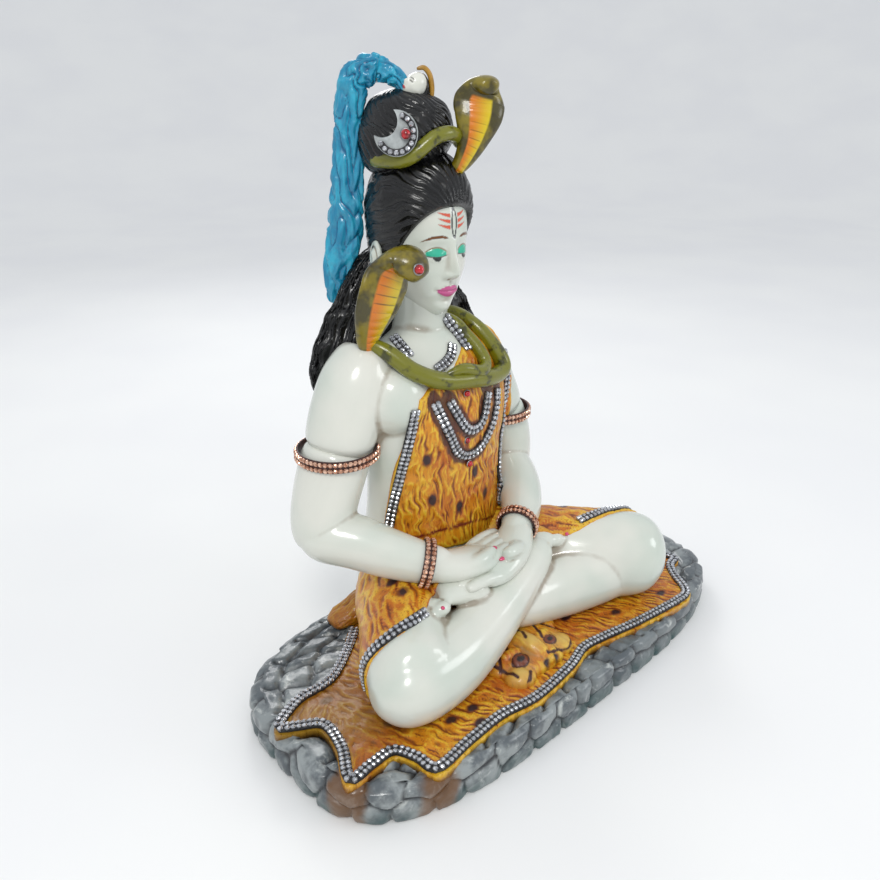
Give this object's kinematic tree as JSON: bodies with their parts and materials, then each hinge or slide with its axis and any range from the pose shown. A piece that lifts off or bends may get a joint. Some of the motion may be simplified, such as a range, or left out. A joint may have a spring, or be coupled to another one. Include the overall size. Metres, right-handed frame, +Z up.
{
  "type": "shiva figure",
  "caption": "Painted cast figure of Shiva, seated in the lotus pose on a tiger skin over an oval of cobbles, with cobras, river and crescent, hung with stone chains.",
  "frame": {"origin": "on the ground under the middle of the base", "axes": "+Z up, the figure faces -Y, its own right side is towards -X"},
  "size_m": [0.404, 0.2034, 0.419],
  "materials": {
    "painted_casting": "cast marble powder and resin, painted and varnished to a high gloss",
    "stone_chain": "two rows of small clear stones in silver cups",
    "bangle": "dark copper band with two rows of small rose stones",
    "red_gem": "polished red glass"
  },
  "bodies": {
    "root": {"figure": "painted_casting", "apron_chain_right": "stone_chain", "apron_chain_neck": "stone_chain", "apron_chain_left": "stone_chain", "necklace_outer": "stone_chain", "necklace_inner": "stone_chain", "neck_strand_left": "stone_chain", "neck_strand_right": "stone_chain", "loin_chain_right": "stone_chain", "loin_chain_left": "stone_chain", "mat_chain_left": "stone_chain", "mat_chain_right": "stone_chain", "mat_chain_back": "stone_chain", "crescent_chain": "stone_chain", "armlet_right": "bangle", "armlet_left": "bangle", "bracelet_right": "bangle", "bracelet_left": "bangle", "crescent_gem": "red_gem", "cobra_gem": "red_gem", "pendant_top": "red_gem", "pendant_middle": "red_gem", "pendant_low": "red_gem"}
  },
  "joints": []
}
